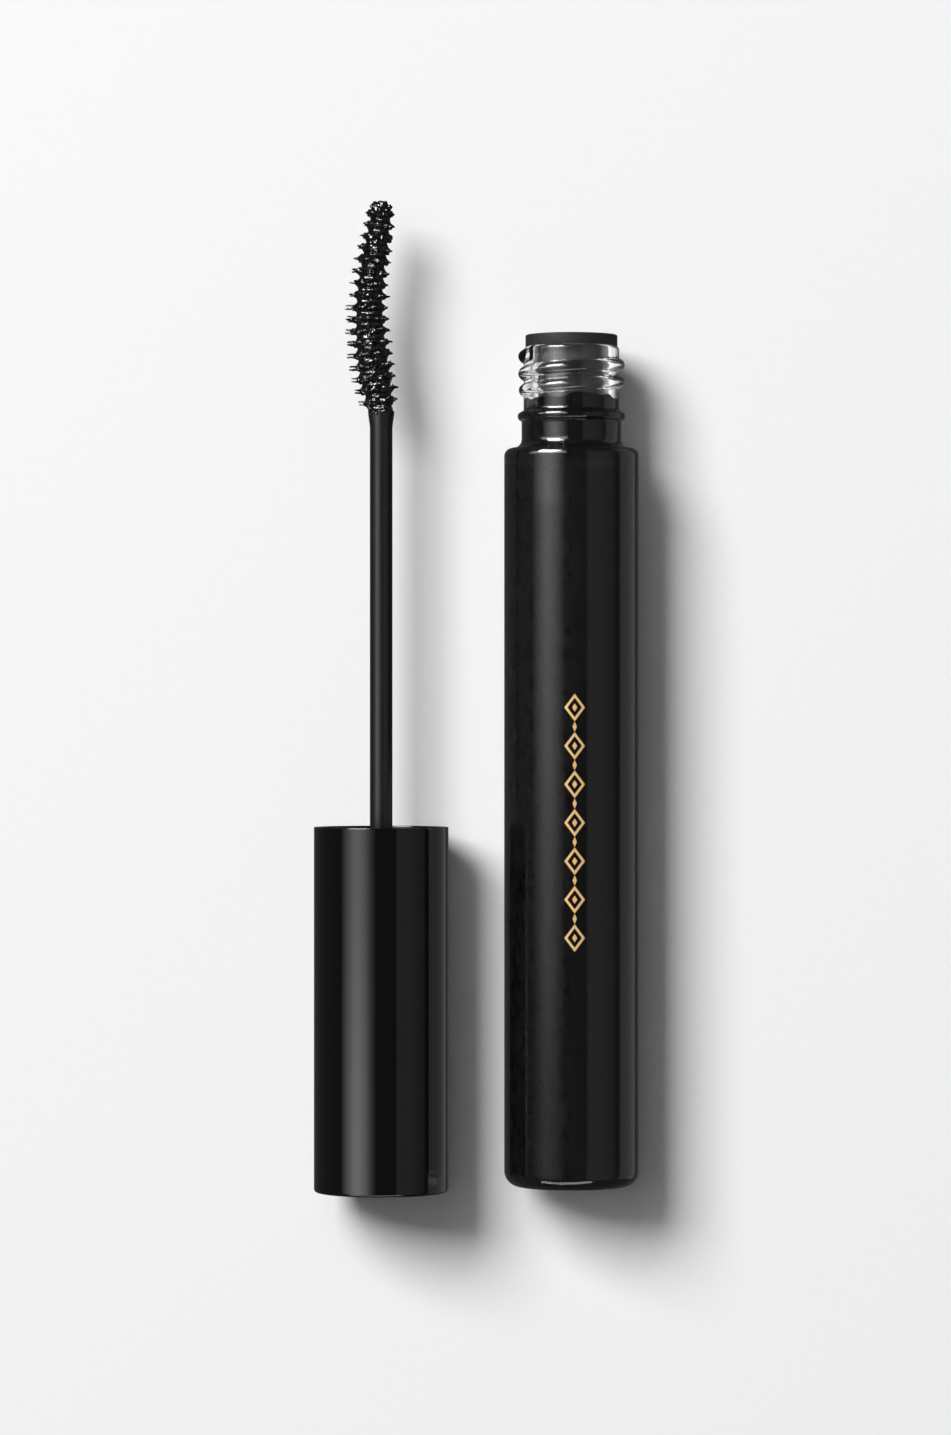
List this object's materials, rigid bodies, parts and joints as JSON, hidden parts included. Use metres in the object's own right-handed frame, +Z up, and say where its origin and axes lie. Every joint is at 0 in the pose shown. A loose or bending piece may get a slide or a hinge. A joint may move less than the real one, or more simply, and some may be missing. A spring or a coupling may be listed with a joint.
{
  "type": "mascara tube",
  "caption": "Slim round mascara vial with a screw neck and wiper, and its screw cap with stem and curved moulded brush, laid side by side.",
  "frame": {"origin": "on the resting surface, under the middle of the pair of tubes", "axes": "+Y along both tubes, towards the vial's mouth and the brush; +Z up, off the surface; +X from the wand to the vial"},
  "size_m": [0.0396, 0.1208, 0.0164],
  "materials": {
    "vial_clear": "clear, polished",
    "wiper_black": "matte",
    "mascara_black": "wet, glossy",
    "cap_black": "high gloss",
    "liner_black": "satin",
    "weight_steel": "turned",
    "stem_black": "satin",
    "brush_black": "moulded, wet with mascara",
    "gold_foil": "hot-stamped foil"
  },
  "bodies": {
    "vial": {"bottle": "vial_clear", "wiper": "wiper_black", "formula": "mascara_black"},
    "tip_drop": {"formula_bead": "mascara_black"},
    "weight": {"cap_weight": "weight_steel"},
    "cap": {"cap_shell": "cap_black"},
    "wand": {"inner_cap": "liner_black", "stem": "stem_black", "brush": "brush_black"}
  },
  "joints": [
    {"name": "wand_swing", "type": "hinge", "parent": "vial", "child": "tip_drop", "pos_m": [0, 0.05524, 0.0082], "axis": [0, 0, -1], "range_deg": [0, 180]},
    {"name": "wand_insert", "type": "slide", "parent": "tip_drop", "child": "weight", "axis": [0, 1, 0], "range_m": [0, 0.09165], "deforming": ["formula_bead"]},
    {"name": "screw_travel", "type": "slide", "parent": "weight", "child": "cap", "axis": [0, 1, 0], "range_m": [0, 0.00423]},
    {"name": "screw_turn", "type": "hinge", "parent": "cap", "child": "wand", "pos_m": [-0.0116, -0.01595, 0.0082], "axis": [0, 1, 0], "range_deg": [0, 720]}
  ],
  "couplings": [
    {"joint": "screw_turn", "follows": "screw_travel", "rad_per_m": 2968}
  ]
}
